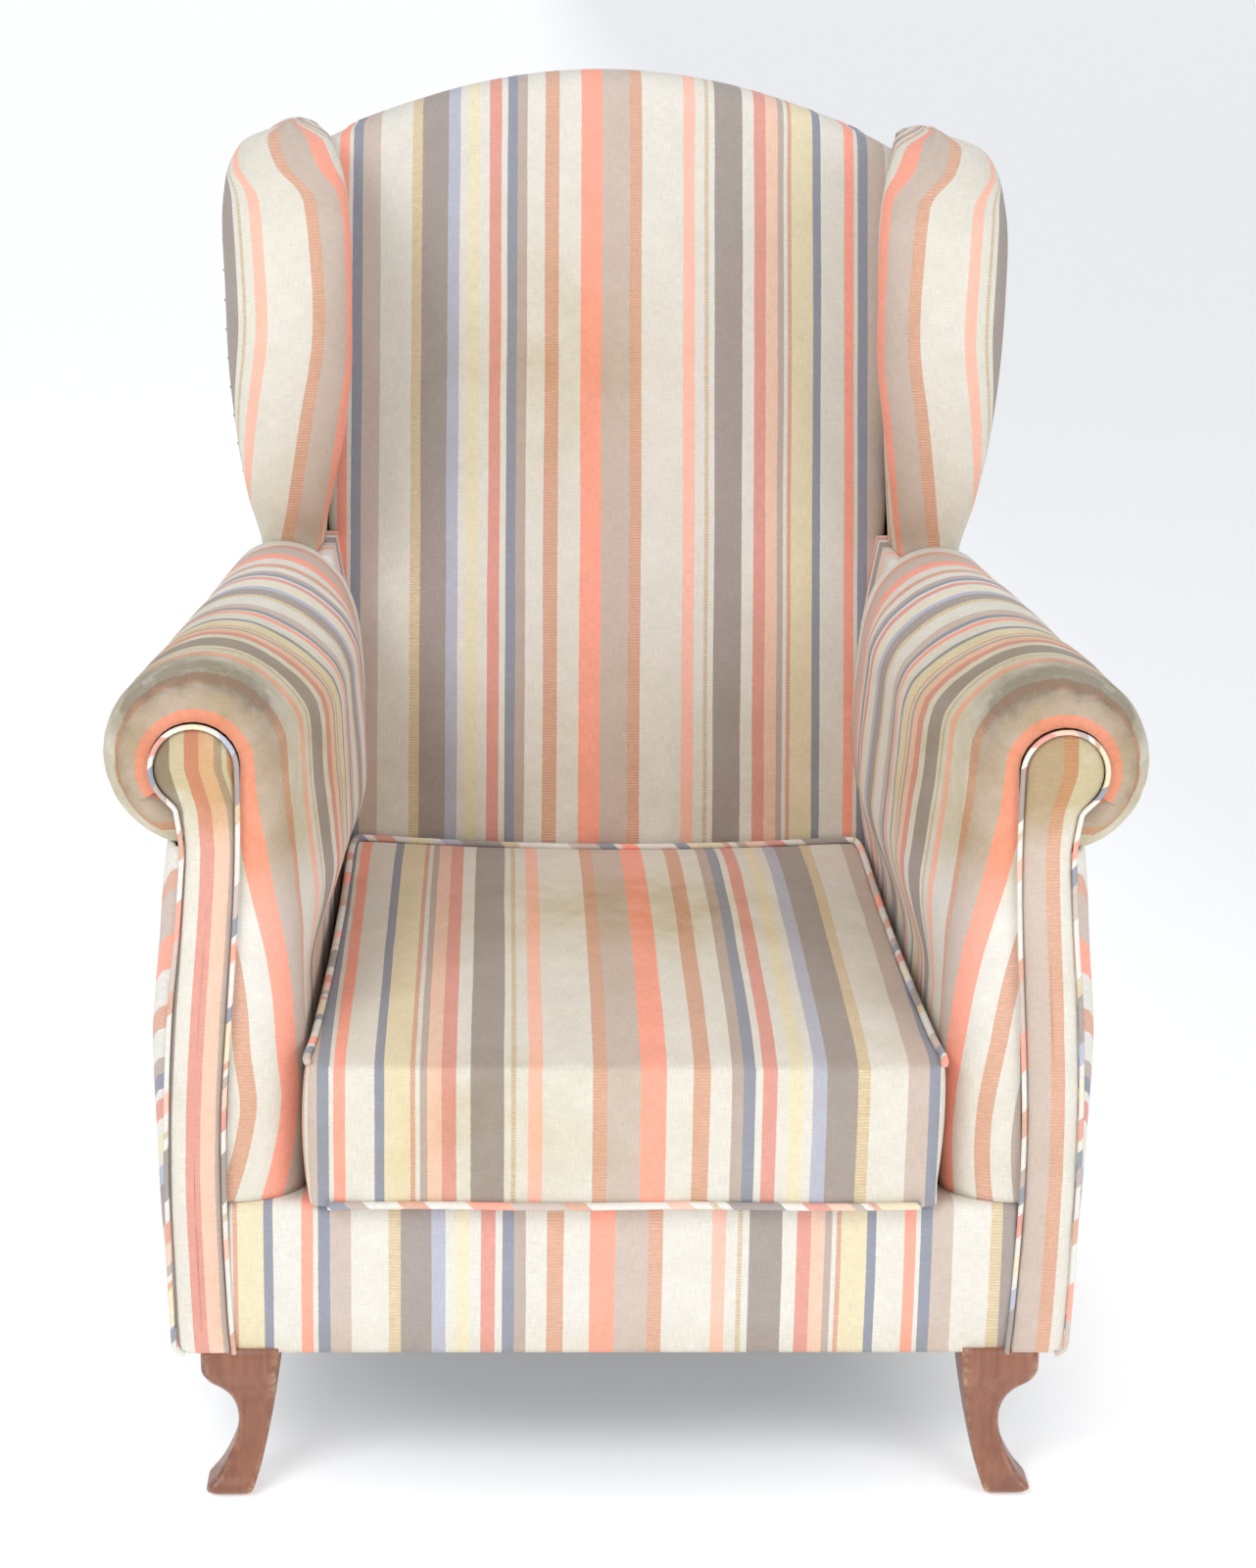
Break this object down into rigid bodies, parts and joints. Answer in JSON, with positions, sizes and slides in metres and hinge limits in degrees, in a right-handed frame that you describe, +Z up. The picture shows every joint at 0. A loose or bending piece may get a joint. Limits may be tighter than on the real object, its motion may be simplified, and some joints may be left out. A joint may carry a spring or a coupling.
{
  "type": "wingback armchair",
  "caption": "Wingback armchair with rolled arms, curved wooden front legs and a loose seat cushion, in striped cloth.",
  "frame": {"origin": "middle of the chair's width and depth, on the floor", "axes": "+Z up, +Y towards the back of the chair, +X towards the right seen from the front"},
  "size_m": [0.7868, 0.8518, 1.056],
  "materials": {
    "striped_fabric": "woven stripes, matt",
    "piping_fabric": "striped cloth cut on the cross, matt",
    "filling": "fibre and foam core, matt",
    "deck_cloth": "plain lining cloth over springs and felt, matt",
    "dust_cloth": "thin bottom cloth, matt",
    "webbing": "jute webbing",
    "frame_wood": "sawn beech, raw",
    "leg_wood": "reddish brown stain, satin",
    "glide": "matt",
    "steel": "zinc plated",
    "zip_tape": "woven tape with plastic teeth",
    "zip_metal": "nickel plated"
  },
  "bodies": {
    "chair": {"front_rail": "frame_wood", "back_rail": "frame_wood", "lumbar_rail": "frame_wood", "crest_rail": "frame_wood", "frame_tenons": "frame_wood", "floor_glides": "glide", "seat_webbing": "webbing", "back_webbing": "webbing", "corner_blocks": "frame_wood", "leg_bolts": "steel", "front_border": "striped_fabric", "seat_deck": "deck_cloth", "dust_cover": "dust_cloth", "back_padding": "striped_fabric", "outside_back_panel": "striped_fabric", "front_leg_right": "leg_wood", "front_leg_left": "leg_wood", "front_post_right": "frame_wood", "front_post_left": "frame_wood", "back_post_right": "leg_wood", "back_post_left": "leg_wood", "side_rail_right": "frame_wood", "side_rail_left": "frame_wood", "arm_rail_right": "frame_wood", "arm_rail_left": "frame_wood", "arm_tack_rail_right": "frame_wood", "arm_tack_rail_left": "frame_wood", "wing_board_right": "frame_wood", "wing_board_left": "frame_wood", "arm_padding_right": "striped_fabric", "arm_padding_left": "striped_fabric", "arm_facing_right": "striped_fabric", "arm_facing_left": "striped_fabric", "facing_piping_right": "piping_fabric", "facing_piping_left": "piping_fabric", "outer_arm_panel_right": "striped_fabric", "outer_arm_panel_left": "striped_fabric", "wing_padding_right": "striped_fabric", "wing_padding_left": "striped_fabric", "wing_outer_panel_right": "striped_fabric", "wing_outer_panel_left": "striped_fabric"},
    "seat_cushion": {"cushion_cover": "striped_fabric", "cushion_filling": "filling", "cushion_piping_top": "piping_fabric", "cushion_piping_front": "piping_fabric", "zip_chain": "zip_tape"},
    "zip_pull": {"zip_slider": "zip_metal"}
  },
  "joints": [
    {"name": "cushion_slide", "type": "slide", "parent": "chair", "child": "seat_cushion", "axis": [0, -1, 0], "range_m": [0, 0.56]},
    {"name": "zip_slide", "type": "slide", "parent": "seat_cushion", "child": "zip_pull", "axis": [1, 0, 0], "range_m": [0, 0.36]}
  ]
}
